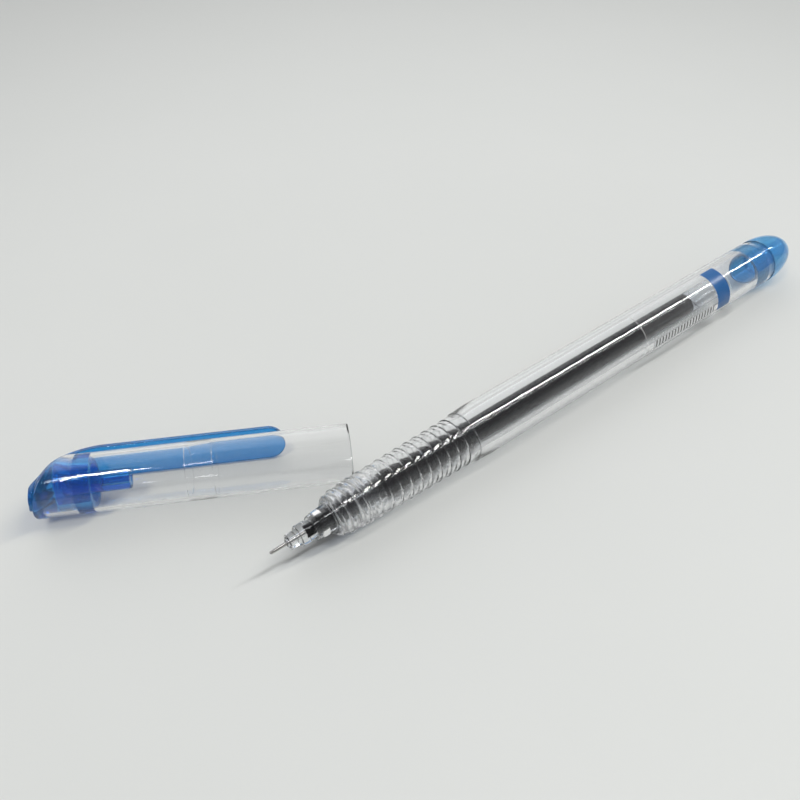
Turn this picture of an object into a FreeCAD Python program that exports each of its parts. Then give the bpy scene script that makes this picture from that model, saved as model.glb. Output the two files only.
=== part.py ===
import FreeCAD, Part
import math
import os

os.makedirs("parts", exist_ok=True)

# All sizes are in millimetres. Stations along the pen are measured from the writing point towards the tail.

# barrel: one clear moulding with a ribbed grip, a rounded front collar and a long bore
barrelRadius = 5.1
barrelBore = 3.6
barrelFront = 11.9
barrelRear = 130.4
barrelMouthRadius = 3.3
collarRadius = 4.12
collarLength = 3.4
gripFrontRadius = 4.22
gripRearRadius = 4.6
gripRear = 41.6
gripLead = 0.6
gripStep = 0.25
ribCount = 12
ribPitch = 2.14
ribWidth = 0.5
ribHeight = 0.13
threadBore = 2.95
threadBoreEnd = 21.2
boreTaper = 3.0

# screw-in nose
noseFront = 8.07
noseFrontRadius = 2.2
noseRearRadius = 2.6
noseFlangeRadius = 3.1
noseFlange = 0.35
noseSeat = 0.02
noseWallFront = 0.9
noseOpening = 1.95
noseBore = 2.45
spigotRadius = 2.86
spigotEnd = 20.3
spigotRelief = 0.5

# tip holder, needle and ball
ballRadius = 0.25
needleRadius = 0.33
needleBore = 0.2
needleEnd = 6.6
socketBore = 0.265
socketDepth = 0.42
needleLip = 0.14
holderFront = 3.16
bossRadius = 0.7
bossLength = 0.34
smallRadius = 1.35
smallEnd = 5.4
stepRadius = 1.88
stepEnd = 7.35
neckRadius = 1.62
neckLength = 0.6
shoulderGap = 0.05
bodyRadius = 2.3
holderBore = 1.3
channelRadius = 0.7
channelEnd = 8.3
plugInTube = 6.0

# refill
tubeRadius = 2.32
tubeWall = 0.38
tubeFront = 15.8
tubeRear = 116.0
inkEnd = 105.0
followerEnd = 108.6
dishDepth = 0.7
sealFit = 0.02

# end plug
plugSpigotLength = 6.1
plugFit = 0.015
plugGrooves = 2
plugGrooveWidth = 0.45
plugGrooveDepth = 0.22
plugGroovePitch = 1.7
plugNoseLength = 10.0
plugBands = 6
plugBluntness = 0.92
plugCoreRadius = 2.2
plugCoreDepth = 5.0
plugChamfer = 0.4

# label film round part of the barrel
labelFront = 86.3
labelRear = 114.2
labelThick = 0.04
labelLowAngle = -8.0
labelHighAngle = 102.0

# cap tube
capRadius = 5.25
capBore = 4.8
capPlugBore = 4.5
capLength = 55.3
capBoreStart = 20.0
capBoreTaper = 2.0

# cap crown with plug, strap and clip
crownPlugEnd = 11.0
crownFit = 0.015
snapStation = 7.66
snapWidth = 0.5
snapDepth = 0.25
sealBossRadius = 1.45
sealBossEnd = 17.1
sealBoreRadius = 0.55
sealBoreDepth = 5.2
corePocketRadius = 3.4
corePocketDepth = 6.0
strapHalfWidth = 3.1
clipOuter = 7.65
clipThick = 1.3
strapThick = 1.1
domeCentre = 12.0
domeDrop = -7.2
domeReach = 12.4
planRadius = 6.0
planRadiusTube = 7.0
planStart = -0.35
clipEnd = 43.1
bumpStation = 39.6
bumpRadius = 1.6
bumpGap = 0.18
bumpMargin = 0.8
bumpSink = 0.3
bodyDelay = 0.75
rootSink = 0.5

# where the cap lies: the middle of its mouth, its heading, and the roll that lets the clip's edge rest on the table
mouthX = 23.08
mouthY = 9.703
capYaw = -29.46
capRoll = 107.3

X = FreeCAD.Vector(1, 0, 0)
Y = FreeCAD.Vector(0, 1, 0)
Z = FreeCAD.Vector(0, 0, 1)
O = FreeCAD.Vector(0, 0, 0)
big = 200.0
behind = -5.0
halfTurn = 180.0


def point(x, r):
    return FreeCAD.Vector(x, 0, r)


def turned(steps):
    """A solid turned round X from a closed outline of (x, r) points. A four-number step is an arc's middle and end."""
    edges = []
    start = steps[0]
    here = start
    for step in steps[1:] + [start]:
        if len(step) == 4:
            edges.append(Part.Arc(point(*here), point(step[0], step[1]), point(step[2], step[3])).toShape())
            here = step[2:]
        elif here != step:
            edges.append(Part.makeLine(point(*here), point(*step)))
            here = step
    return Part.Face(Part.Wire(edges)).revolve(O, X, 360)


def rod(x0, x1, radius):
    return Part.makeCylinder(radius, x1 - x0, FreeCAD.Vector(x0, 0, 0), X)


def ring(x0, x1, outer, inner):
    return rod(x0, x1, outer).cut(rod(x0, x1, inner))


def grip_outline():
    """The ribbed grip's outline from its front to its rear step."""
    steps = []
    front = barrelFront + collarLength + gripLead
    slope = (gripRearRadius - gripFrontRadius) / (gripRear - front)
    steps.append((front, gripFrontRadius))
    for n in range(ribCount - 1, 0, -1):
        middle = gripRear - n * ribPitch
        first = middle - ribWidth / 2
        last = middle + ribWidth / 2
        base = gripFrontRadius + slope * (middle - front)
        low = gripFrontRadius + slope * (first - front)
        high = gripFrontRadius + slope * (last - front)
        steps.append((first, low))
        steps.append((middle, base + ribHeight))
        steps.append((last, high))
    steps.append((gripRear, gripRearRadius))
    steps.append((gripRear + gripStep, barrelRadius))
    return steps


def make_barrel():
    collarEnd = barrelFront + collarLength
    crest = barrelFront + 0.45 * collarLength
    bulge = (barrelFront + 0.12 * collarLength, 0.3 * barrelMouthRadius + 0.7 * collarRadius)
    steps = [(barrelFront, threadBore), (barrelFront, barrelMouthRadius)]
    steps.append((bulge[0], bulge[1], crest, collarRadius))
    steps.append((collarEnd, collarRadius - 0.08))
    steps += grip_outline()
    steps.append((barrelRear, barrelRadius))
    steps.append((barrelRear, barrelBore))
    steps.append((threadBoreEnd + boreTaper, barrelBore))
    steps.append((threadBoreEnd, threadBore))
    return turned(steps)


def make_label():
    shell = ring(labelFront, labelRear, barrelRadius + labelThick, barrelRadius)
    wedge = Part.makeCylinder(2 * barrelRadius, labelRear - labelFront, FreeCAD.Vector(labelFront, 0, 0), X, labelHighAngle - labelLowAngle)
    # a cylinder along X starts its sweep at -Z or +Y depending on its own frame, so it is turned by its measured middle
    middle = wedge.CenterOfMass
    now = math.degrees(math.atan2(middle.z, middle.y))
    wanted = halfTurn - (labelLowAngle + labelHighAngle) / 2
    wedge.rotate(O, X, wanted - now)
    return shell.common(wedge)


def make_nose():
    rear = barrelFront - noseSeat
    steps = [(noseFront, noseOpening), (noseFront, noseFrontRadius), (rear - noseFlange, noseRearRadius)]
    steps.append((rear - noseFlange, noseFlangeRadius))
    steps.append((rear, noseFlangeRadius))
    steps.append((rear, spigotRadius))
    steps.append((spigotEnd - spigotRelief, spigotRadius))
    steps.append((spigotEnd, spigotRadius - spigotRelief / 2))
    steps.append((spigotEnd, noseBore))
    steps.append((noseFront + noseWallFront, noseBore))
    steps.append((noseFront + noseWallFront, noseOpening))
    return turned(steps)


def make_holder():
    shoulder = noseFront + noseWallFront + shoulderGap
    rear = tubeFront + plugInTube
    steps = [(holderFront, needleRadius), (holderFront, bossRadius)]
    steps.append((holderFront + bossLength, bossRadius))
    steps.append((holderFront + bossLength, smallRadius))
    steps.append((smallEnd, smallRadius))
    steps.append((smallEnd, stepRadius))
    steps.append((stepEnd, stepRadius))
    steps.append((stepEnd, neckRadius))
    steps.append((stepEnd + neckLength, neckRadius))
    steps.append((stepEnd + neckLength, stepRadius))
    steps.append((shoulder, stepRadius))
    steps.append((shoulder, bodyRadius))
    steps.append((tubeFront, bodyRadius))
    steps.append((tubeFront, tubeRadius - tubeWall - sealFit))
    steps.append((rear, tubeRadius - tubeWall - sealFit))
    steps.append((rear, holderBore))
    steps.append((channelEnd, holderBore))
    steps.append((channelEnd, channelRadius))
    steps.append((needleEnd, channelRadius))
    steps.append((needleEnd, needleRadius))
    return turned(steps)


def make_needle():
    steps = [(needleLip, socketBore), (needleLip, needleRadius - 0.03)]
    steps.append((needleLip + 0.12, needleRadius))
    steps.append((needleEnd, needleRadius))
    steps.append((needleEnd, needleBore))
    steps.append((socketDepth + 0.08, needleBore))
    steps.append((socketDepth, socketBore))
    return turned(steps)


def make_ball():
    return Part.makeSphere(ballRadius, FreeCAD.Vector(ballRadius, 0, 0))


def make_tube():
    return ring(tubeFront, tubeRear, tubeRadius, tubeRadius - tubeWall)


def make_ink():
    rear = tubeFront + plugInTube
    inner = tubeRadius - tubeWall - sealFit
    steps = [(needleEnd + sealFit, 0.0), (needleEnd + sealFit, channelRadius - sealFit)]
    steps.append((channelEnd + sealFit, channelRadius - sealFit))
    steps.append((channelEnd + sealFit, holderBore - sealFit))
    steps.append((rear + sealFit, holderBore - sealFit))
    steps.append((rear + sealFit, inner))
    steps.append((inkEnd, inner))
    steps.append((inkEnd - dishDepth, 0.0))
    return turned(steps)


def make_follower():
    inner = tubeRadius - tubeWall - sealFit
    steps = [(inkEnd - dishDepth + sealFit, 0.0), (inkEnd + sealFit, inner), (followerEnd, inner)]
    steps.append((followerEnd, 0.0))
    return turned(steps)


def make_end_plug():
    fit = barrelBore - plugFit
    front = barrelRear - plugSpigotLength
    tail = barrelRear + plugNoseLength
    steps = [(front, plugCoreRadius), (front, fit - plugChamfer), (front + plugChamfer, fit)]
    for n in range(plugGrooves):
        start = front + 1.2 + n * plugGroovePitch
        steps.append((start, fit))
        steps.append((start, fit - plugGrooveDepth))
        steps.append((start + plugGrooveWidth, fit - plugGrooveDepth))
        steps.append((start + plugGrooveWidth, fit))
    steps.append((barrelRear, fit))
    steps.append((barrelRear, barrelRadius))
    # an ogive that leaves in line with the barrel and meets the axis square, in even bands
    for n in range(1, plugBands + 1):
        a = math.pi / 2 * n / plugBands
        steps.append((barrelRear + plugNoseLength * math.sin(a), barrelRadius * math.cos(a) ** plugBluntness))
    steps.append((front + plugCoreDepth, 0.0))
    steps.append((front + plugCoreDepth, plugCoreRadius))
    return turned(steps)


def ellipse_block(inset, thin):
    """Everything behind the cap's curved end outline, seen from the side, out to the clip's face."""
    reach = domeReach - inset
    rise = clipOuter - domeDrop - thin
    low = -capRadius - 1.0
    steps = 6
    first = math.asin((low - domeDrop) / rise)
    edges = []
    marks = []
    for n in range(2 * steps + 1):
        a = first + (math.pi / 2 - first) * n / (2 * steps)
        marks.append(FreeCAD.Vector(domeCentre - reach * math.cos(a), 0, domeDrop + rise * math.sin(a)))
    for n in range(0, 2 * steps, 2):
        edges.append(Part.Arc(marks[n], marks[n + 1], marks[n + 2]).toShape())
    top = marks[-1].z
    corners = [marks[-1], FreeCAD.Vector(big, 0, top), FreeCAD.Vector(big, 0, low), marks[0]]
    for a, b in zip(corners, corners[1:]):
        edges.append(Part.makeLine(a, b))
    block = Part.Face(Part.Wire(edges)).extrude(FreeCAD.Vector(0, big, 0))
    block.translate(FreeCAD.Vector(0, -big / 2, 0))
    return block


def plan_block(radius, start):
    """A long block with a round end in plan."""
    disc = Part.makeCylinder(radius, big, FreeCAD.Vector(start + radius, 0, -big / 2), Z)
    box = Part.makeBox(big, 2 * radius, big, FreeCAD.Vector(start + radius, -radius, -big / 2))
    return disc.fuse(box).removeSplitter()


def make_cap_tube():
    bore = [(behind, 0.0), (behind, capPlugBore), (capBoreStart - capBoreTaper, capPlugBore), (capBoreStart, capBore)]
    bore += [(capLength, capBore), (capLength, 0.0)]
    tube = rod(behind, capLength, capRadius).cut(turned(bore))
    tube = tube.common(ellipse_block(strapThick, clipThick))
    return tube.common(plan_block(planRadiusTube, planStart + bodyDelay))


def strap_outline():
    """The strap and clip seen along the cap: straight sides with a round lower end."""
    low = strapHalfWidth - capRadius
    disc = Part.makeCylinder(strapHalfWidth, big, FreeCAD.Vector(-big / 2, 0, low), X)
    box = Part.makeBox(big, 2 * strapHalfWidth, big, FreeCAD.Vector(-big / 2, -strapHalfWidth, low))
    return disc.fuse(box).removeSplitter()


def make_crown():
    inner = ellipse_block(strapThick, clipThick)
    outer = ellipse_block(0, 0).common(plan_block(planRadius, planStart))
    tip = Part.makeCylinder(strapHalfWidth, big, FreeCAD.Vector(clipEnd - strapHalfWidth, 0, -big / 2), Z)
    long = Part.makeBox(clipEnd - strapHalfWidth - behind, 2 * strapHalfWidth, big, FreeCAD.Vector(behind, -strapHalfWidth, -big / 2))
    strap = outer.cut(inner).common(strap_outline()).common(tip.fuse(long).removeSplitter())
    strap = strap.common(Part.makeBox(big, big, big, FreeCAD.Vector(behind, -big / 2, -capRadius)))
    radius = capPlugBore - crownFit
    plug = rod(behind, crownPlugEnd, radius).cut(ring(snapStation, snapStation + snapWidth, radius + 1, radius - snapDepth))
    plug = plug.common(inner).common(plan_block(planRadiusTube, planStart + bodyDelay))
    pocket = rod(crownPlugEnd - corePocketDepth, crownPlugEnd, corePocketRadius)
    plug = plug.cut(pocket)
    boss = rod(crownPlugEnd - corePocketDepth - rootSink, sealBossEnd, sealBossRadius)
    boss = boss.cut(rod(sealBossEnd - sealBoreDepth, sealBossEnd, sealBoreRadius))
    face = clipOuter - clipThick
    bumpCentre = capRadius + bumpGap + bumpRadius
    bump = Part.makeCylinder(bumpRadius, 2 * (strapHalfWidth - bumpMargin), FreeCAD.Vector(bumpStation, bumpMargin - strapHalfWidth, bumpCentre), Y)
    bump = bump.common(Part.makeBox(big, big, face + bumpSink, FreeCAD.Vector(bumpStation - big / 2, -big / 2, 0)))
    return strap.fuse([plug, boss, bump]).removeSplitter()


def lay_cap(shape):
    """The cap's own frame has X towards its mouth and Z towards its clip; this lays it on the table beside the pen."""
    shape.rotate(O, X, -capRoll)
    shape.translate(FreeCAD.Vector(-capLength, 0, 0))
    shape.rotate(O, Z, capYaw)
    shape.translate(FreeCAD.Vector(mouthX, mouthY, capRadius))
    return shape


def lay_pen(shape):
    shape.translate(FreeCAD.Vector(0, 0, barrelRadius))
    return shape


pieces = {
    "barrel": lay_pen(make_barrel()),
    "label_film": lay_pen(make_label()),
    "nose_cone": lay_pen(make_nose()),
    "tip_holder": lay_pen(make_holder()),
    "needle_tube": lay_pen(make_needle()),
    "writing_ball": lay_pen(make_ball()),
    "refill_tube": lay_pen(make_tube()),
    "ink_column": lay_pen(make_ink()),
    "gel_follower": lay_pen(make_follower()),
    "end_plug": lay_pen(make_end_plug()),
    "cap_tube": lay_cap(make_cap_tube()),
    "cap_crown": lay_cap(make_crown()),
}

# the middle of the whole layout's footprint becomes the origin
box = FreeCAD.BoundBox()
for shape in pieces.values():
    box.add(shape.optimalBoundingBox(False))
shift = FreeCAD.Vector(-box.Center.x, -box.Center.y, -box.ZMin)
for name, shape in pieces.items():
    shape.translate(shift)
    print(name, shape.isValid(), len(shape.Solids), round(shape.Volume, 3))
    shape.exportStep("parts/" + name + ".step")
print("shift", shift.x, shift.y, shift.z, "size", box.XLength, box.YLength, box.ZLength)
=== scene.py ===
import math

import bpy
from mathutils import Matrix, Vector


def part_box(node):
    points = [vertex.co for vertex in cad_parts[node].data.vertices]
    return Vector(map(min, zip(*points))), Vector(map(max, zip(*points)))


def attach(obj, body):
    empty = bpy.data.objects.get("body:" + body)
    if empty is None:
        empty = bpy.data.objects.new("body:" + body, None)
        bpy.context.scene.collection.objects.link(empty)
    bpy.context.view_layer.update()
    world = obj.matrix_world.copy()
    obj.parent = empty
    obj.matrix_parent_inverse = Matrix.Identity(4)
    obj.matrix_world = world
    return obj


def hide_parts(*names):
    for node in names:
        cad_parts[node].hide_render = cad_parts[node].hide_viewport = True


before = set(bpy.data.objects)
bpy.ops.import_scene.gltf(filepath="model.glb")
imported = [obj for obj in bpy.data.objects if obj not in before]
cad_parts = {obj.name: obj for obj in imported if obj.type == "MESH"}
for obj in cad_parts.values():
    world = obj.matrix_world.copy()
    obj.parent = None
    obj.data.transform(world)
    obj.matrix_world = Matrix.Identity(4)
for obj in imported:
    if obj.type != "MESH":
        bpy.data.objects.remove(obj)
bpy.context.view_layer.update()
print("frame loaded")

# Sizes are in millimetres in a piece's own space. The pen's has X from the writing point to the rear plug.
# The cap's has X from its closed end to its mouth, and Z towards its clip.
lie = {
    "penRadius": 5.1,
    "capRadius": 5.25,
    "capLength": 55.3,
    "mouthX": 23.08,
    "mouthY": 9.703,
    "capYaw": -29.46,
    "capRoll": 107.3,
}
barrelLow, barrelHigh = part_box("barrel")
tip = Vector((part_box("writing_ball")[0].x, (barrelLow.y + barrelHigh.y) / 2, 0))
tableSpace = Matrix.Translation(tip) @ Matrix.Scale(0.001, 4)
penSpace = tableSpace @ Matrix.Translation((0, 0, lie["penRadius"]))
capSpace = (
    tableSpace
    @ Matrix.Translation((lie["mouthX"], lie["mouthY"], lie["capRadius"]))
    @ Matrix.Rotation(math.radians(lie["capYaw"]), 4, "Z")
    @ Matrix.Translation((-lie["capLength"], 0, 0))
    @ Matrix.Rotation(math.radians(-lie["capRoll"]), 4, "X")
)


# shader maths: a Wire is an output socket, and sums with it add Math nodes

class Wire:
    def __init__(self, board, socket):
        self.board = board
        self.socket = socket

    def maths(self, operation, first, second):
        return self.board.add("ShaderNodeMath", {"operation": operation}, {0: first, 1: second})

    def __add__(self, other):
        return self.maths("ADD", self, other)

    def __radd__(self, other):
        return self.maths("ADD", other, self)

    def __sub__(self, other):
        return self.maths("SUBTRACT", self, other)

    def __rsub__(self, other):
        return self.maths("SUBTRACT", other, self)

    def __mul__(self, other):
        return self.maths("MULTIPLY", self, other)

    def __rmul__(self, other):
        return self.maths("MULTIPLY", other, self)

    def __gt__(self, other):
        return self.maths("GREATER_THAN", self, other)

    def __lt__(self, other):
        return self.maths("LESS_THAN", self, other)

    def __mod__(self, other):
        return self.maths("MODULO", self, other)


class Board:
    def __init__(self, owner):
        self.owner = owner
        owner.use_nodes = True
        self.tree = owner.node_tree
        self.tree.nodes.clear()

    def add(self, kind, settings=None, values=None, output=0):
        node = self.tree.nodes.new(kind)
        for key, value in (settings or {}).items():
            if key == "stops":
                self.setStops(node.color_ramp.elements, value)
            else:
                setattr(node, key, value)
        for key, value in (values or {}).items():
            if isinstance(value, Wire):
                self.tree.links.new(value.socket, node.inputs[key])
            else:
                node.inputs[key].default_value = value
        return Wire(self, node.outputs[output]) if node.outputs else None

    def setStops(self, elements, stops):
        while len(elements) < len(stops):
            elements.new(0.5)
        for element, (position, colour) in zip(elements, stops):
            element.position = position
            element.color = colour

    def place(self):
        return self.add("ShaderNodeTexCoord", output="Object")

    def axis(self, number):
        return self.add("ShaderNodeSeparateXYZ", values={0: self.place()}, output=number)

    def station(self):
        # millimetres from the writing point
        return (self.axis(0) - tip.x) * 1000.0

    def noise(self, scale, detail=2.0, rough=0.5, where=None):
        values = {"Vector": where or self.place(), "Scale": scale, "Detail": detail, "Roughness": rough}
        return self.add("ShaderNodeTexNoise", values=values)

    def ease(self, value, low, high, top=1.0):
        settings = {"interpolation_type": "SMOOTHSTEP"}
        return self.add("ShaderNodeMapRange", settings, {0: value, 1: low, 2: high, 4: top})

    def blend(self, share, first, second):
        return self.add("ShaderNodeMix", {"data_type": "RGBA"}, {"Factor": share, 6: first, 7: second}, output=2)

    def bump(self, height, depth, strength=1.0):
        return self.add("ShaderNodeBump", values={"Height": height, "Distance": depth, "Strength": strength})

    def skin(self, **values):
        names = {key.replace("_", " "): value for key, value in values.items()}
        return self.add("ShaderNodeBsdfPrincipled", values=names)

    def finish(self, surface, output="ShaderNodeOutputMaterial"):
        self.add(output, values={"Surface": surface})
        return self.owner


def lightThrough(board, solid, tint):
    # shadow rays pass and pick up the tint, as daylight does through clear plastic
    passed = board.add("ShaderNodeBsdfTransparent", values={"Color": tint})
    shadow = board.add("ShaderNodeLightPath", output="Is Shadow Ray")
    return board.add("ShaderNodeMixShader", values={0: shadow, 1: solid, 2: passed})


def clearPlastic(name, look):
    board = Board(bpy.data.materials.new(name))
    scuffs = board.noise(look["scuffScale"], 3.0, 0.7)
    height = board.noise(look["waveScale"], 1.0) + scuffs * look["scuffShare"]
    colour = look["colour"]
    if "gripEnd" in look:
        # the moulded grip glitters where the light strikes it
        grip = board.noise(look["gripScale"], 2.0, 0.6) * (board.station() < look["gripEnd"])
        height = height + grip * look["gripShare"]
    if "paintedLightFrom" in look:
        # painted light: the plug's front is painted pale, lifting the shade that falls on its front face inside the
        # barrel
        share = board.ease(board.station(), look["paintedLightFrom"], look["paintedLightTo"])
        colour = board.blend(share, look["paleColour"], look["colour"])
    solid = board.skin(
        Base_Color=colour,
        Roughness=scuffs * look["scuffGloss"] + look["roughness"],
        IOR=look["ior"],
        Transmission_Weight=look["through"],
        Normal=board.bump(height, look["depth"]),
    )
    return board.finish(lightThrough(board, solid, look["shadow"]))


clearLooks = {
    "clearBarrel": {
        "colour": (0.985, 0.99, 1.0, 1), "roughness": 0.012, "ior": 1.56, "through": 1.0, "shadow": (0.9, 0.905, 0.91, 1),
        "waveScale": 260, "scuffScale": 2400, "scuffShare": 0.1, "scuffGloss": 0.03, "depth": 0.000012,
        "gripEnd": 41.2, "gripScale": 1900, "gripShare": 2.4,
    },
    "clearNose": {
        "colour": (0.975, 0.985, 1.0, 1), "roughness": 0.02, "ior": 1.52, "through": 1.0, "shadow": (0.82, 0.83, 0.85, 1),
        "waveScale": 500, "scuffScale": 3000, "scuffShare": 0.1, "scuffGloss": 0.04, "depth": 0.000014,
    },
    "clearHolder": {
        "colour": (0.95, 0.96, 0.97, 1), "roughness": 0.03, "ior": 1.5, "through": 1.0, "shadow": (0.8, 0.81, 0.83, 1),
        "waveScale": 700, "scuffScale": 4000, "scuffShare": 0.15, "scuffGloss": 0.05, "depth": 0.000012,
    },
    "refillPlastic": {
        "colour": (0.93, 0.94, 0.95, 1), "roughness": 0.04, "ior": 1.49, "through": 1.0, "shadow": (0.85, 0.86, 0.87, 1),
        "waveScale": 200, "scuffScale": 2000, "scuffShare": 0.1, "scuffGloss": 0.05, "depth": 0.00001,
    },
    "clearCap": {
        "colour": (0.995, 0.997, 1.0, 1), "roughness": 0.015, "ior": 1.5, "through": 1.0, "shadow": (0.985, 0.987, 0.99, 1),
        "waveScale": 220, "scuffScale": 2200, "scuffShare": 0.12, "scuffGloss": 0.04, "depth": 0.000016,
    },
    "bluePlug": {
        "colour": (0.15, 0.52, 0.9, 1), "roughness": 0.05, "ior": 1.5, "through": 0.7, "shadow": (0.72, 0.8, 0.88, 1),
        "waveScale": 300, "scuffScale": 2600, "scuffShare": 0.12, "scuffGloss": 0.06, "depth": 0.00001,
        # the plug's pale front is painted light, lifting the shade on its front face
        "paintedLightFrom": 123.8, "paintedLightTo": 124.9, "paleColour": (0.93, 0.96, 0.985, 1),
    },
    "blueCrown": {
        "colour": (0.045, 0.37, 0.86, 1), "roughness": 0.025, "ior": 1.5, "through": 0.9, "shadow": (0.6, 0.64, 0.74, 1),
        "waveScale": 300, "scuffScale": 2600, "scuffShare": 0.1, "scuffGloss": 0.04, "depth": 0.000012,
    },
}
finishes = {name: clearPlastic(name, look) for name, look in clearLooks.items()}

inkLook = {
    "colour": (0.008, 0.008, 0.0095, 1), "paleColour": (0.016, 0.016, 0.018, 1), "roughness": 0.22, "streakGloss": 0.25,
    "specular": 0.08, "cloudScale": 300, "streakScale": 900, "stretch": (0.08, 1, 1), "depth": 0.00002, "strength": 0.4,
}


def makeInk(look):
    board = Board(bpy.data.materials.new("gelInk"))
    along = board.add("ShaderNodeMapping", values={"Vector": board.place(), "Scale": look["stretch"]})
    clouds = board.noise(look["cloudScale"], 3.0, 0.6, along)
    streaks = board.noise(look["streakScale"], 2.0, 0.6, along)
    solid = board.skin(
        Base_Color=board.blend(clouds * clouds, look["colour"], look["paleColour"]),
        Roughness=streaks * look["streakGloss"] + look["roughness"],
        Specular_IOR_Level=look["specular"],
        Normal=board.bump(streaks, look["depth"], look["strength"]),
    )
    return board.finish(solid)


finishes["ink"] = makeInk(inkLook)

gelLook = {
    "colour": (0.9, 0.92, 0.94, 1), "roughness": 0.03, "hazeScale": 700, "hazeGloss": 0.15,
    "ior": 1.1, "through": 0.98, "shadow": (0.75, 0.78, 0.8, 1),
}


def makeGel(look):
    board = Board(bpy.data.materials.new("followerGel"))
    solid = board.skin(
        Base_Color=look["colour"],
        Roughness=board.noise(look["hazeScale"]) * look["hazeGloss"] + look["roughness"],
        IOR=look["ior"],
        Transmission_Weight=look["through"],
    )
    return board.finish(lightThrough(board, solid, look["shadow"]))


finishes["gel"] = makeGel(gelLook)

steelLook = {
    "colour": (0.48, 0.47, 0.46, 1), "roughness": 0.2, "turnGloss": 0.1,
    "turnScale": 5200, "turnDrift": 2.0, "depth": 0.000004, "strength": 0.5,
}


def makeSteel(look):
    board = Board(bpy.data.materials.new("needleSteel"))
    around = board.add(
        "ShaderNodeTexWave",
        {"wave_type": "BANDS", "bands_direction": "X"},
        {"Vector": board.place(), "Scale": look["turnScale"], "Distortion": look["turnDrift"], "Detail": 2.0},
    )
    solid = board.skin(
        Base_Color=look["colour"],
        Metallic=1.0,
        Roughness=around * look["turnGloss"] + look["roughness"],
        Normal=board.bump(around, look["depth"], look["strength"]),
    )
    return board.finish(solid)


finishes["steel"] = makeSteel(steelLook)

ballLook = {"colour": (0.35, 0.35, 0.37, 1), "roughness": 0.12, "grainGloss": 0.1, "grainScale": 9000}


def makeBall(look):
    board = Board(bpy.data.materials.new("carbideBall"))
    gloss = board.noise(look["grainScale"]) * look["grainGloss"] + look["roughness"]
    return board.finish(board.skin(Base_Color=look["colour"], Metallic=1.0, Roughness=gloss))


finishes["ball"] = makeBall(ballLook)

# the film's print: a plain blue band and evenly spaced bars
film = {
    "front": 86.3, "rear": 114.2, "radius": 5.125, "lowAngle": -8.0, "highAngle": 102.0, "rows": 48, "columns": 64,
    "edge": 0.22, "edgeAngle": 2.5, "bandFront": 109.5, "bandRear": 113.6,
    "barsFront": 88.6, "barsRear": 108.2, "barsLow": -4.0, "barsHigh": 14.0, "barPitch": 0.98, "barWidth": 0.5,
    "haze": 0.045, "edgeCover": 0.3, "barCover": 0.8, "bandCover": 0.96,
    "clear": (1, 1, 1, 1), "band": (0.01, 0.12, 0.36, 1), "white": (0.86, 0.87, 0.88, 1), "black": (0.03, 0.03, 0.035, 1),
    "speckScale": 3500, "speckGloss": 0.1, "roughness": 0.25,
}


def between(value, low, high):
    return (value > low) * (value < high)


def makeFilm(look):
    board = Board(bpy.data.materials.new("printedFilm"))
    station = board.station()
    forward = (tip.y - board.axis(1)) * 1000.0
    up = board.axis(2) * 1000.0 - lie["penRadius"]
    angle = up.maths("ARCTAN2", up, forward) * (180.0 / math.pi)
    band = between(station, look["bandFront"], look["bandRear"])
    bars = between(station, look["barsFront"], look["barsRear"]) * between(angle, look["barsLow"], look["barsHigh"])
    dark = ((station % look["barPitch"]) < look["barWidth"]) * bars
    inner = between(station, look["front"] + look["edge"], look["rear"] - look["edge"])
    inner = inner * between(angle, look["lowAngle"] + look["edgeAngle"], look["highAngle"] - look["edgeAngle"])
    rim = 1.0 - inner
    shade = board.blend(rim, look["white"], look["clear"])
    shade = board.blend(bars, shade, look["white"])
    shade = board.blend(dark, shade, look["black"])
    shade = board.blend(band, shade, look["band"])
    cover = look["haze"] + rim * look["edgeCover"]
    cover = cover + bars * (look["barCover"] - look["haze"])
    cover = cover + band * (look["bandCover"] - look["haze"])
    solid = board.skin(
        Base_Color=shade,
        Roughness=board.noise(look["speckScale"]) * look["speckGloss"] + look["roughness"],
        Alpha=cover.maths("MINIMUM", cover, 1.0),
    )
    return board.finish(solid)


finishes["film"] = makeFilm(film)
print("finishes ready")


def linked(name, data):
    thing = bpy.data.objects.new(name, data)
    bpy.context.scene.collection.objects.link(thing)
    return thing


def addPiece(name, points, faces, space, body, finish, slotName, standsFor=(), sharp=33):
    mesh = bpy.data.meshes.new(name)
    mesh.from_pydata([space @ Vector(p) for p in points], [], faces)
    mesh.validate()
    mesh.shade_smooth()
    mesh.set_sharp_from_angle(angle=math.radians(sharp))
    mesh.materials.append(finishes[finish])
    piece = linked(name, mesh)
    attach(piece, body)
    if standsFor:
        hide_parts(*standsFor)


def softened(corners, count=4):
    # a corner's third number rounds it off by about that much
    outline = []
    for n, corner in enumerate(corners):
        here = Vector(corner[:2])
        if len(corner) == 2:
            outline.append(tuple(here))
            continue
        ends = []
        for other in (corners[n - 1], corners[(n + 1) % len(corners)]):
            way = Vector(other[:2]) - here
            ends.append(here + way.normalized() * min(corner[2], 0.45 * way.length))
        for k in range(count + 1):
            t = k / count
            outline.append(tuple(ends[0] * (1 - t) ** 2 + here * 2 * t * (1 - t) + ends[1] * t * t))
    return outline


def turned(outline, warp=None, segments=96):
    # rings of points round X, joined in order and round to the start
    rings, points, faces = [], [], []
    for x, r in outline:
        count = 1 if r < 1e-6 else segments
        ring = []
        for n in range(count):
            angle = 2 * math.pi * n / segments
            px, pr = warp(x, r, angle) if warp else (x, r)
            ring.append(len(points))
            points.append((px, pr * math.cos(angle), pr * math.sin(angle)))
        rings.append(ring)
    for first, second in zip(rings, rings[1:] + rings[:1]):
        if len(first) == 1 and len(second) == 1:
            continue
        for n in range(segments):
            m = (n + 1) % segments
            if len(first) == 1:
                faces.append((first[0], second[m], second[n]))
            elif len(second) == 1:
                faces.append((first[n], first[m], second[0]))
            else:
                faces.append((first[n], first[m], second[m], second[n]))
    return points, faces


def steps(first, last, count):
    return [first + (last - first) * n / count for n in range(count + 1)]


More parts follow.
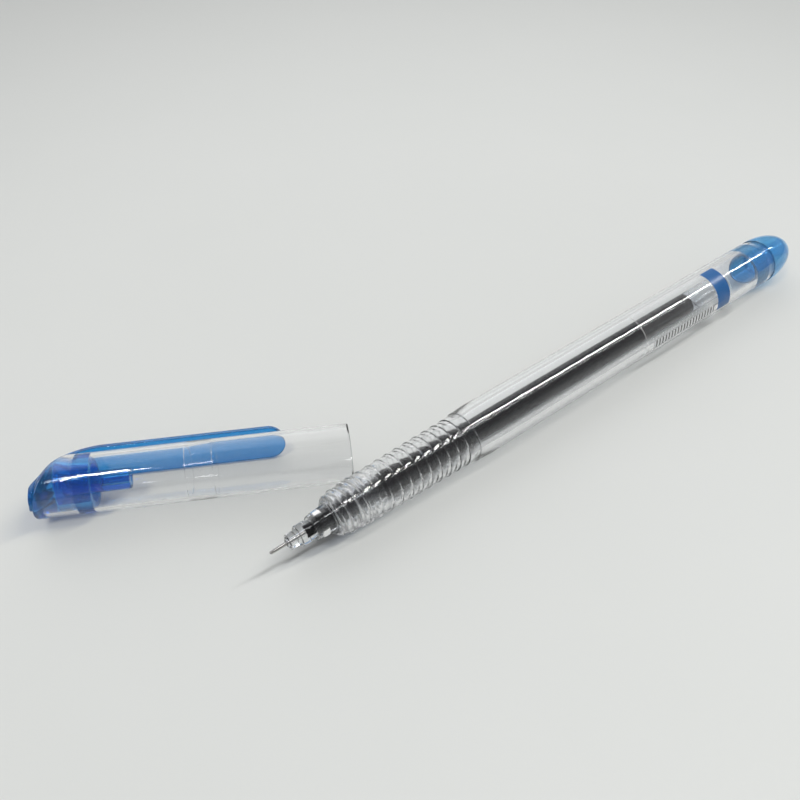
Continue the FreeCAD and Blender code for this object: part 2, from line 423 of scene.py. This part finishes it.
# the screw thread between nose and barrel, one start, right hand
thread = {
    "pitch": 1.2, "front": 12.5, "rear": 19.7, "fade": 0.8, "depth": 0.17,
    "noseRadius": 2.86, "boreRadius": 2.95, "rings": 80, "near": 0.001,
}


def threadCut(radius):
    # a warp that cuts the thread into the skin of that radius, faded out at both ends
    def warp(x, r, angle):
        if abs(r - radius) > thread["near"]:
            return x, r
        turn = x / thread["pitch"] - angle / (2 * math.pi)
        wave = 0.5 + 0.5 * math.cos(2 * math.pi * turn)
        inside = min(x - thread["front"], thread["rear"] - x) / thread["fade"]
        share = max(0.0, min(1.0, inside))
        return x, r - thread["depth"] * share * (1 - wave)
    return warp


barrel = {
    "front": 11.9, "rear": 130.4, "radius": lie["penRadius"], "bore": 3.6, "mouth": 3.5, "rings": 24, "segments": 128,
    "collar": 4.12, "collarFront": 3.87, "collarRise": 0.16, "collarTop": 0.45, "collarRear": 4.04, "collarEnd": 15.3,
    "notch": 3.82, "notchEdge": 0.12, "gripFront": 15.9, "gripFrontRadius": 4.22,
    "gripRear": 41.2, "gripRearRadius": 4.6, "gripStep": 0.4, "plainFront": 44, "plainRear": 128.4,
    "ribs": 11, "ribPitch": 2.14, "ribWidth": 0.32, "ribHeight": 0.14,
    "boreStart": 24.2, "boreFront": 24.6, "threadEnd": 21.2, "threadRear": 20.5, "threadFront": 12.2, "threadRings": 82,
    "ribRings": 8,
}


def gripRadius(x):
    share = (x - barrel["gripFront"]) / (barrel["gripRear"] - barrel["gripFront"])
    return barrel["gripFrontRadius"] + share * (barrel["gripRearRadius"] - barrel["gripFrontRadius"])


def gripOutline():
    outline = [(barrel["gripFront"], gripRadius(barrel["gripFront"]))]
    for n in range(barrel["ribs"], 0, -1):
        middle = barrel["gripRear"] - n * barrel["ribPitch"]
        for share in steps(-1, 1, barrel["ribRings"]):
            x = middle + share * barrel["ribWidth"] / 2
            outline.append((x, gripRadius(x) + barrel["ribHeight"] * math.cos(share * math.pi / 2) ** 2))
    return outline


def barrelOutline():
    front, rear, notchEdge = barrel["front"], barrel["rear"], barrel["notchEdge"]
    length = barrel["collarEnd"] - front
    outline = softened([
        (front, thread["boreRadius"], 0.1), (front, barrel["mouth"], 0.2),
        (front + barrel["collarRise"] * length, barrel["collarFront"], 0.4),
    ])
    outline += softened([
        (front + barrel["collarTop"] * length, barrel["collar"], 0.6), (barrel["collarEnd"], barrel["collarRear"], 0.12),
        (barrel["collarEnd"] + notchEdge, barrel["notch"], 0.1), (barrel["gripFront"] - notchEdge, barrel["notch"], 0.1),
    ])
    outline += gripOutline()
    outline += softened([
        (barrel["gripRear"], barrel["gripRearRadius"], 0.25),
        (barrel["gripRear"] + barrel["gripStep"], barrel["radius"], 0.3),
    ])
    outline += [(x, barrel["radius"]) for x in steps(barrel["plainFront"], barrel["plainRear"], barrel["rings"])]
    outline += softened([(rear, barrel["radius"], 0.2), (rear, barrel["bore"], 0.15)])
    outline += [(x, barrel["bore"]) for x in steps(barrel["plainRear"], barrel["boreFront"], barrel["rings"])]
    outline += softened([(barrel["boreStart"], barrel["bore"], 0.3), (barrel["threadEnd"], thread["boreRadius"], 0.3)])
    threadSteps = steps(barrel["threadRear"], barrel["threadFront"], barrel["threadRings"])
    outline += [(x, thread["boreRadius"]) for x in threadSteps]
    return outline


addPiece(
    "barrelTube", *turned(barrelOutline(), threadCut(thread["boreRadius"]), barrel["segments"]),
    penSpace, "barrel", "clearBarrel", "clear_barrel", ["barrel"],
)
print("barrel made")


def filmMesh():
    points, faces = [], []
    for x in steps(film["front"], film["rear"], film["columns"]):
        for degrees in steps(film["lowAngle"], film["highAngle"], film["rows"]):
            angle = math.radians(degrees)
            points.append((x, -film["radius"] * math.cos(angle), film["radius"] * math.sin(angle)))
    for n in range(film["columns"]):
        for m in range(film["rows"]):
            k = n * (film["rows"] + 1) + m
            faces.append((k, k + film["rows"] + 1, k + film["rows"] + 2, k + 1))
    return points, faces


addPiece("printedFilm", *filmMesh(), penSpace, "barrel", "film", "printed_film", ["label_film"])
print("film made")


nose = {
    "front": 8.07, "opening": 1.95, "frontRadius": 2.2, "rearRadius": 2.6, "flangeFront": 11.53, "flangeRear": 11.88,
    "flange": 3.1, "wall": 0.9, "bore": 2.45, "threadFront": 12.08, "threadRear": 19.8, "spigotEnd": 20.3, "relief": 0.5,
    "boreRear": 19, "boreFront": 9.37, "rings": 10,
}


def noseOutline():
    floor = nose["front"] + nose["wall"]
    outline = softened([
        (nose["front"], nose["opening"], 0.06), (nose["front"], nose["frontRadius"], 0.14),
        (nose["flangeFront"], nose["rearRadius"], 0.15), (nose["flangeFront"], nose["flange"], 0.1),
        (nose["flangeRear"], nose["flange"], 0.06), (nose["flangeRear"], thread["noseRadius"], 0.05),
    ])
    threadSteps = steps(nose["threadFront"], nose["threadRear"], thread["rings"])
    outline += [(x, thread["noseRadius"]) for x in threadSteps]
    outline += softened([
        (nose["spigotEnd"], thread["noseRadius"] - nose["relief"] / 2, 0.1), (nose["spigotEnd"], nose["bore"], 0.05),
    ])
    outline += [(x, nose["bore"]) for x in steps(nose["boreRear"], nose["boreFront"], nose["rings"])]
    outline += softened([(floor, nose["bore"], 0.15), (floor, nose["opening"], 0.06)])
    return outline


addPiece(
    "noseCone", *turned(noseOutline(), threadCut(thread["noseRadius"])),
    penSpace, "nose_cone", "clearNose", "clear_nose", ["nose_cone"],
)
print("nose made")


holder = {
    "front": 3.16, "hole": 0.335, "boss": 0.7, "bossEnd": 3.5, "small": 1.35, "smallEnd": 5.4, "step": 1.88, "stepEnd": 7.35,
    "neck": 1.62, "body": 2.3, "bodyFront": 9.02, "bodyEnd": 15.74, "plug": 1.92, "rear": 21.8,
    "bore": 1.3, "channel": 0.7, "channelEnd": 8.3, "needleEnd": 6.6,
}


def holderOutline():
    return softened([
        (holder["front"], holder["hole"], 0.03), (holder["front"], holder["boss"], 0.1),
        (holder["bossEnd"], holder["boss"], 0.08), (holder["bossEnd"], holder["small"], 0.16),
        (holder["smallEnd"], holder["small"], 0.1), (holder["smallEnd"], holder["step"], 0.16),
        (holder["stepEnd"], holder["step"], 0.14), (holder["stepEnd"], holder["neck"], 0.08),
        (holder["bodyFront"], holder["neck"], 0.1), (holder["bodyFront"], holder["body"], 0.15),
        (holder["bodyEnd"], holder["body"], 0.1), (holder["bodyEnd"], holder["plug"], 0.05),
        (holder["rear"], holder["plug"], 0.1), (holder["rear"], holder["bore"], 0.08),
        (holder["channelEnd"], holder["bore"], 0.1), (holder["channelEnd"], holder["channel"], 0.05),
        (holder["needleEnd"], holder["channel"], 0.05), (holder["needleEnd"], holder["hole"], 0.03),
    ])


addPiece("tipHolder", *turned(holderOutline()), penSpace, "refill", "clearHolder", "clear_holder", ["tip_holder"])


# the needle's front is swaged over the ball, which turns freely in its seat
needle = {
    "front": 0.14, "lip": 0.26, "taper": 0.75, "radius": 0.33, "bore": 0.2, "rear": 6.6, "segments": 48,
    "swage": 0.232, "seat": ((0.44, 0.2), (0.38, 0.225), (0.32, 0.25), (0.25, 0.257), (0.18, 0.248)),
    "ball": 0.25, "ballRings": 24,
}


def needleOutline():
    return softened([
        (needle["front"], needle["swage"]), (needle["front"], needle["lip"], 0.01), (needle["taper"], needle["radius"], 0.2),
        (needle["rear"], needle["radius"], 0.03), (needle["rear"], needle["bore"]), *needle["seat"],
    ])


def ballOutline():
    radius = needle["ball"]
    return [(radius - radius * math.cos(a), radius * math.sin(a)) for a in steps(0, math.pi, needle["ballRings"])]


addPiece(
    "needleTube", *turned(needleOutline(), segments=needle["segments"]),
    penSpace, "refill", "steel", "steel_needle", ["needle_tube"],
)
addPiece(
    "writingBall", *turned(ballOutline(), segments=needle["segments"]),
    penSpace, "writing_ball", "ball", "hard_ball", ["writing_ball"],
)
print("tip made")


refill = {
    "front": 15.8, "rear": 116.0, "radius": 2.32, "bore": 1.94, "plainFront": 17, "plainRear": 115, "rings": 24,
    "inkFront": 6.62, "inkEnd": 104.2, "gelEnd": 107.8, "gap": 0.03, "dish": 0.7, "dishRings": 8, "wet": 0.01,
}


def tubeOutline():
    rings = steps(refill["plainFront"], refill["plainRear"], refill["rings"])
    outline = softened([(refill["front"], refill["bore"], 0.05), (refill["front"], refill["radius"], 0.08)])
    outline += [(x, refill["radius"]) for x in rings]
    outline += softened([(refill["rear"], refill["radius"], 0.1), (refill["rear"], refill["bore"], 0.06)])
    outline += [(x, refill["bore"]) for x in reversed(rings)]
    return outline


def inkOutline():
    # the ink wets the tube, so its skin is the tube's inner wall
    wet, end = refill["wet"], refill["inkEnd"]
    channel, bore, skin = holder["channel"] + wet, holder["bore"] + wet, refill["bore"] + wet
    outline = [(refill["inkFront"], 0.0), (refill["inkFront"], channel), (holder["channelEnd"] + wet, channel)]
    outline += [(holder["channelEnd"] + wet, bore), (holder["rear"], bore)]
    outline += [(x, skin) for x in steps(holder["rear"] + 0.02, end, refill["rings"])]
    outline += [(end - refill["dish"] * math.sin(a), skin * math.cos(a)) for a in steps(0, math.pi / 2, refill["dishRings"])]
    outline[-1] = (end - refill["dish"], 0.0)
    return outline


def gelOutline():
    front, end, dish = refill["inkEnd"] + refill["gap"], refill["gelEnd"], refill["dish"]
    skin = refill["bore"] + refill["wet"]
    turns = steps(0, math.pi / 2, refill["dishRings"])
    outline = [(front - dish * math.cos(a), skin * math.sin(a)) for a in turns]
    outline += [(end - dish * math.sin(a), skin * math.cos(a)) for a in turns]
    outline[0] = (front - dish, 0.0)
    outline[-1] = (end - dish, 0.0)
    return outline


addPiece("refillTube", *turned(tubeOutline()), penSpace, "refill", "refillPlastic", "refill_plastic", ["refill_tube"])
addPiece("inkColumn", *turned(inkOutline()), penSpace, "refill", "ink", "ink", ["ink_column"], sharp=50)
addPiece("gelFollower", *turned(gelOutline()), penSpace, "refill", "gel", "follower_gel", ["gel_follower"], sharp=50)
print("refill made")


plug = {
    "front": 124.3, "seat": 130.39, "shoulder": 130.4, "tail": 140.4, "radius": 5.1, "rim": 5.08, "spigot": 3.63,
    "core": 3.1, "coreDepth": 13.0, "coreRound": 4.0, "chamfer": 0.25, "tailStart": 0.06, "tailRings": 32, "bluntness": 0.92,
    "grooves": 4, "grooveStart": 1.0, "groovePitch": 1.15, "grooveWidth": 0.4, "grooveDepth": 0.026,
}


def plugOutline():
    front, spigot = plug["front"], plug["spigot"]
    floor = spigot - plug["grooveDepth"]
    corners = [(front, plug["core"], 0.1), (front, spigot - plug["chamfer"], 0.1), (front + plug["chamfer"], spigot, 0.1)]
    for n in range(plug["grooves"]):
        start = front + plug["grooveStart"] + n * plug["groovePitch"]
        end = start + plug["grooveWidth"]
        corners += [(start, spigot, 0.08), (start, floor, 0.08), (end, floor, 0.08), (end, spigot, 0.08)]
    corners += [(plug["seat"], spigot, 0.03), (plug["seat"], plug["rim"], 0.1)]
    outline = softened(corners, 3)
    length = plug["tail"] - plug["shoulder"]
    for a in steps(plug["tailStart"], math.pi / 2, plug["tailRings"]):
        outline.append((plug["shoulder"] + length * math.sin(a), plug["radius"] * math.cos(a) ** plug["bluntness"]))
    outline[-1] = (plug["tail"], 0.0)
    floor = front + plug["coreDepth"]
    outline += softened([(floor, 0.0), (floor, plug["core"], plug["coreRound"])])
    return outline


addPiece("endPlug", *turned(plugOutline()), penSpace, "end_plug", "bluePlug", "blue_plug", ["end_plug"])
print("plug made")


# the cap's closed end: a lopsided dome, with the strap rising over it along an ellipse
dome = {
    "centre": 12.0, "drop": -7.2, "reach": 12.4, "clipOuter": 7.95, "clipThick": 1.3, "strapThick": 1.1,
    "side": 1.8, "low": -2.2, "depth": 11.3, "radius": 8.9, "lowRadius": 12.1, "blend": 0.35, "strapBlend": 0.2,
}


def roundX(share, depth):
    return dome["centre"] - depth * math.sqrt(1 - min(1.0, share))


def ellipseX(z, inset, thin):
    rise = dome["clipOuter"] - dome["drop"] - thin
    return roundX(((z - dome["drop"]) / rise) ** 2, dome["reach"] - inset)


def softMax(a, b, width):
    # the larger of two, with their corner rounded off
    return 0.5 * (a + b + math.sqrt((a - b) ** 2 + width * width)) - 0.5 * width


def domeX(y, z):
    ball = roundX(((y - dome["side"]) ** 2 + (z - dome["low"]) ** 2) / dome["radius"] ** 2, dome["depth"])
    return softMax(ellipseX(z, dome["strapThick"], dome["clipThick"]), ball, dome["blend"])


def strapX(z):
    return softMax(ellipseX(z, 0, 0), roundX((z / dome["lowRadius"]) ** 2, dome["lowRadius"]), dome["strapBlend"])


capTube = {
    "radius": lie["capRadius"], "bore": 4.8, "mouthBore": 5.0, "mouthDepth": 0.35, "plugBore": 4.5, "length": lie["capLength"],
    "boreStart": 31.7, "boreFront": 32.2, "boreTaper": 5.1, "plugBoreRear": 25.5, "gap": 0.1, "edge": 0.05,
    "plainFront": 8.5, "plainRear": 54, "rings": 24, "boreRings": 14, "plugRings": 10, "segments": 128,
}


def closeEnd(x, r, angle):
    # a place of -1 lies on the closed end's skin, and -1.1 lies 0.1 mm inside it
    if x >= 0:
        return x, r
    return domeX(r * math.cos(angle), r * math.sin(angle)) - x - 1, r


def capTubeOutline():
    end = -1 - capTube["gap"]
    radius, bore, plugBore = capTube["radius"], capTube["bore"], capTube["plugBore"]
    outline = [(end, plugBore), (end, radius - capTube["edge"]), (end - capTube["edge"], radius)]
    outline += [(x, radius) for x in steps(capTube["plainFront"], capTube["plainRear"], capTube["rings"])]
    outline += softened([
        (capTube["length"], radius, 0.1), (capTube["length"], capTube["mouthBore"], 0.05),
        (capTube["length"] - capTube["mouthDepth"], bore, 0.06),
    ])
    outline += [(x, bore) for x in steps(capTube["plainRear"], capTube["boreFront"], capTube["boreRings"])]
    outline += softened([(capTube["boreStart"], bore, 0.3), (capTube["boreStart"] - capTube["boreTaper"], plugBore, 0.3)])
    outline += [(x, plugBore) for x in steps(capTube["plugBoreRear"], capTube["plainFront"], capTube["plugRings"])]
    return outline


addPiece(
    "capTube", *turned(capTubeOutline(), closeEnd, capTube["segments"]),
    capSpace, "cap", "clearCap", "clear_cap", ["cap_tube"],
)
print("cap tube made")


crown = {
    "plugEnd": 11.0, "plugRadius": 4.512, "edge": 0.08, "faceFrom": 0.4, "faceRings": 12, "snap": 7.66, "snapWidth": 0.5, "snapDepth": 0.25,
    "pocket": 3.4, "pocketFloor": 5.0, "boss": 1.85, "bossEnd": 17.1, "sealBore": 0.55, "sealFloor": 11.9,
}
strap = {
    "half": 3.1, "wideFrom": 5.2, "neckHalf": 2.4, "neckAt": 1.2, "neckFade": 1.5, "endHalf": 2.2, "low": -5.25,
    "seatTop": 4.5, "seatLow": 2.0, "sink": 0.05, "least": 0.42, "round": 0.3,
    "bowLow": 0.165, "bowHigh": 0.02, "bowFrom": -1, "bowTo": 4,
    "endTurn": 86, "endRings": 10, "riseFrom": 0.04, "riseRings": 40,
    "clipFront": 13, "clipMiddle": (37.5, 37.8), "clipRings": (16, 10), "clipEnd": 43.95, "roundTurn": 88.5, "roundRings": 12,
}


def crownPlugOutline():
    radius, edge, snap = crown["plugRadius"], crown["edge"], crown["snap"]
    snapEnd, groove = snap + crown["snapWidth"], radius - crown["snapDepth"]
    outline = [(-1.0, 0.0)] + [(-1.0, r) for r in steps(crown["faceFrom"], radius - edge, crown["faceRings"])] + [(-1.0 - edge, radius)]
    outline += softened([
        (snap, radius, 0.06), (snap, groove, 0.06), (snapEnd, groove, 0.06), (snapEnd, radius, 0.06),
        (crown["plugEnd"], radius, 0.2), (crown["plugEnd"], crown["pocket"], 0.12),
        (crown["pocketFloor"], crown["pocket"], 0.3), (crown["pocketFloor"], crown["boss"], 0.2),
        (crown["bossEnd"], crown["boss"], 0.25), (crown["bossEnd"], crown["sealBore"], 0.15),
        (crown["sealFloor"], crown["sealBore"], 0.1), (crown["sealFloor"], 0.0),
    ])
    return outline


def smooth(low, high, value):
    share = max(0.0, min(1.0, (value - low) / (high - low)))
    return share * share * (3 - 2 * share)


def strapHalf(z):
    low = smooth(strap["low"] + strap["endHalf"], strap["neckAt"], z)
    high = smooth(strap["neckAt"] - strap["neckFade"], strap["wideFrom"], z)
    neck = strap["endHalf"] + (strap["neckHalf"] - strap["endHalf"]) * low
    return neck + (strap["half"] - strap["neckHalf"]) * high


def strapStations():
    # (outer x, outer z, inner x, inner z, half width) up the closed end and along the clip
    outerRise = dome["clipOuter"] - dome["drop"]
    innerRise = outerRise - dome["clipThick"]
    innerReach = dome["reach"] - dome["strapThick"]
    under = dome["clipOuter"] - dome["clipThick"]
    roundLow = strap["low"] + strap["endHalf"]
    stations = []
    for a in steps(math.radians(strap["endTurn"]), 0, strap["endRings"]):
        z = roundLow - strap["endHalf"] * math.sin(a)
        stations.append((strapX(z), z, domeX(0, z), z, strap["endHalf"] * math.cos(a)))
    firstOuter = math.asin((roundLow - dome["drop"]) / outerRise)
    firstInner = math.asin((roundLow - dome["drop"]) / innerRise)
    for share in steps(strap["riseFrom"], 1, strap["riseRings"]):
        outer = firstOuter + (math.pi / 2 - firstOuter) * share
        inner = firstInner + (math.pi / 2 - firstInner) * share
        z = dome["drop"] + outerRise * math.sin(outer)
        innerX = dome["centre"] - innerReach * math.cos(inner)
        stations.append((strapX(z), z, innerX, dome["drop"] + innerRise * math.sin(inner), strapHalf(z)))
    roundStart = strap["clipEnd"] - strap["half"]
    middle, onwards = strap["clipMiddle"]
    along = steps(strap["clipFront"], middle, strap["clipRings"][0])
    for x in along + steps(onwards, roundStart - 0.1, strap["clipRings"][1]):
        stations.append((x, dome["clipOuter"], x, under, strap["half"]))
    for a in steps(0, math.radians(strap["roundTurn"]), strap["roundRings"]):
        x = roundStart + strap["half"] * math.sin(a)
        stations.append((x, dome["clipOuter"], x, under, strap["half"] * math.cos(a)))
    return stations


def roundedSection(half, thick, size, count=5):
    # (across, share from inner to outer) round a rounded bar
    # the rounding always leaves a little flat on each side
    size = min(size, 0.48 * thick, 0.95 * half)
    loop = []
    for sideways, outward, start in ((1, 1, 0), (-1, 1, 1), (-1, -1, 2), (1, -1, 3)):
        for k in range(count + 1):
            a = math.pi / 2 * (start + k / count)
            across = sideways * (half - size) + size * math.cos(a)
            out = (thick - size if outward > 0 else size) + size * math.sin(a)
            loop.append((across, out / thick))
    return loop


def strapMesh():
    points, faces, rings = [], [], []
    for outerX, outerZ, innerX, innerZ, half in strapStations():
        thick = math.hypot(outerX - innerX, outerZ - innerZ)
        seat, bow = 0.0, 0.0
        if outerX < dome["centre"]:
            # low down the strap sits on the dome and bows across its width
            seat = smooth(strap["seatTop"], strap["seatLow"], innerZ)
            high = smooth(strap["bowFrom"], strap["bowTo"], outerZ)
            bow = strap["bowLow"] + (strap["bowHigh"] - strap["bowLow"]) * high
        ring = []
        for across, share in roundedSection(half, thick, strap["round"]):
            inside = innerX + (domeX(across, innerZ) + strap["sink"] - innerX) * seat
            outside = outerX + bow * across * across
            if seat > 0:
                outside = min(outside, inside - strap["least"])
            ring.append(len(points))
            points.append((inside + (outside - inside) * share, across, innerZ + (outerZ - innerZ) * share))
        rings.append(ring)
    count = len(rings[0])
    for first, second in zip(rings, rings[1:]):
        for n in range(count):
            m = (n + 1) % count
            faces.append((first[n], second[n], second[m], first[m]))
    faces.append(tuple(rings[0]))
    faces.append(tuple(reversed(rings[-1])))
    return points, faces


def rawMesh(name, points, faces):
    mesh = bpy.data.meshes.new(name)
    mesh.from_pydata([Vector(p) for p in points], [], faces)
    mesh.validate()
    return linked(name, mesh)


def joined(first, second):
    # one closed skin from two closed ones
    union = first.modifiers.new("union", "BOOLEAN")
    union.operation = "UNION"
    union.solver = "EXACT"
    union.object = second
    bpy.context.view_layer.update()
    mesh = bpy.data.meshes.new_from_object(first.evaluated_get(bpy.context.evaluated_depsgraph_get()))
    points = [tuple(v.co) for v in mesh.vertices]
    faces = [tuple(p.vertices) for p in mesh.polygons]
    for piece in (first, second):
        bpy.data.objects.remove(piece)
    return points, faces


crownPlug = rawMesh("crownPlug", *turned(crownPlugOutline(), closeEnd))
crownSkin = joined(crownPlug, rawMesh("crownStrap", *strapMesh()))
addPiece("capCrown", *crownSkin, capSpace, "cap", "blueCrown", "blue_crown", ["cap_crown"], sharp=38)
print("crown made")


# table, light and camera
table = {
    # the far colour is painted shade, greying the table away from the object where the light falls off
    "size": 12.0, "farFrom": 0.09, "farTo": 0.34, "paintedFalloffShade": (0.55, 0.565, 0.555, 1),
    "colour": (0.71, 0.73, 0.715, 1), "paleColour": (0.745, 0.76, 0.75, 1), "cloudScale": 14,
    "grainScale": 900, "grainGloss": 0.2, "roughness": 0.45, "depth": 0.00006, "strength": 0.3,
}


def makeTable(look):
    board = Board(bpy.data.materials.new("paleTable"))
    clouds = board.noise(look["cloudScale"], 4.0, 0.6)
    grain = board.noise(look["grainScale"], 3.0, 0.6)
    # painted shade: the table turns a little greyer away from the object, standing in for the light falling off
    far = board.add("ShaderNodeVectorMath", {"operation": "LENGTH"}, {0: board.place()}, output=1)
    share = board.ease(far, look["farFrom"], look["farTo"])
    colour = board.blend(share, board.blend(clouds, look["colour"], look["paleColour"]), look["paintedFalloffShade"])
    solid = board.skin(
        Base_Color=colour,
        Roughness=grain * look["grainGloss"] + look["roughness"],
        Normal=board.bump(grain, look["depth"], look["strength"]),
    )
    return board.finish(solid)


def tableMesh():
    half = table["size"] / 2
    return [(-half, -half, 0), (half, -half, 0), (half, half, 0), (-half, half, 0)], [(0, 1, 2, 3)]


tableTop = rawMesh("tableTop", *tableMesh())
tableTop.data.materials.append(makeTable(table))

# both lamps look straight down, and their long sides run along the same way
lampWay = Vector((1, -0.113, 0)).normalized()
lamps = {
    "ceilingTube": {"place": (0.87, -0.22, 1.0), "size": (1.3, 0.07), "power": 10.6, "colour": (1.0, 0.995, 0.98)},
    "nearTube": {"place": (-0.5, -0.066, 1.0), "size": (0.33, 0.09), "power": 4.2, "colour": (1.0, 0.995, 0.98)},
}
for name, lamp in lamps.items():
    data = bpy.data.lights.new(name, "AREA")
    data.shape = "RECTANGLE"
    data.size, data.size_y = lamp["size"]
    data.energy = lamp["power"]
    data.color = lamp["colour"]
    light = linked(name, data)
    light.location = lamp["place"]
    light.rotation_mode = "QUATERNION"
    light.rotation_quaternion = Vector((1, 0, 0)).rotation_difference(lampWay)

# a dim room, brighter towards a window
room = {
    "low": (0.2, 0.2, 0.204, 1), "side": (0.34, 0.34, 0.3502, 1), "high": (0.12, 0.12, 0.12, 1),
    "sideAt": 0.25, "highAt": 0.75,
    "windowWay": (0.25, 0.8, 0.55), "windowEdge": 0.72, "windowCore": 0.94, "window": 0.75,
    "lowDown": 0.2, "backdrop": (0.6, 0.615, 0.605, 1),
}


def makeRoom(look):
    board = Board(bpy.data.worlds.new("room"))
    way = board.add("ShaderNodeTexCoord", output="Generated")
    height = board.add("ShaderNodeSeparateXYZ", values={0: way}, output=2)
    stops = [(0.0, look["low"]), (look["sideAt"], look["side"]), (look["highAt"], look["high"])]
    walls = board.add("ShaderNodeValToRGB", {"stops": stops}, {0: height})
    windowWay = Vector(look["windowWay"]).normalized()
    towards = board.add("ShaderNodeVectorMath", {"operation": "DOT_PRODUCT"}, {0: way, 1: windowWay}, output="Value")
    window = board.ease(towards, look["windowEdge"], look["windowCore"], look["window"])
    light = board.add("ShaderNodeVectorMath", {"operation": "ADD"}, {0: walls, 1: window})
    # the eye and, low down, clear plastic see a pale backdrop, which lights nothing
    eye = board.add("ShaderNodeLightPath", output="Is Camera Ray")
    through = board.add("ShaderNodeLightPath", output="Is Transmission Ray") * (height < look["lowDown"])
    shade = board.blend(eye.maths("MAXIMUM", eye, through), light, look["backdrop"])
    return board.finish(board.add("ShaderNodeBackground", values={"Color": shade}), "ShaderNodeOutputWorld")


bpy.context.scene.world = makeRoom(room)

view = {
    "place": Vector((-0.092054, -0.095684, 0.119274)), "aim": Vector((-0.014399, 0.001787, 0.0)),
    "lens": 39.07, "sensor": 36, "nearest": 0.005,
}
camera = linked("camera", bpy.data.cameras.new("camera"))
camera.data.sensor_width = view["sensor"]
camera.data.lens = view["lens"]
camera.data.clip_start = view["nearest"]
camera.location = view["place"]
camera.rotation_mode = "QUATERNION"
camera.rotation_quaternion = (view["aim"] - view["place"]).to_track_quat("-Z", "Y")
bpy.context.scene.camera = camera

scene = bpy.context.scene
scene.view_settings.view_transform = "Standard"
scene.cycles.caustics_refractive = False
scene.cycles.caustics_reflective = False
scene.cycles.max_bounces = 24
scene.cycles.transmission_bounces = 24
scene.cycles.transparent_max_bounces = 24
scene.cycles.glossy_bounces = 8
print("stage set")
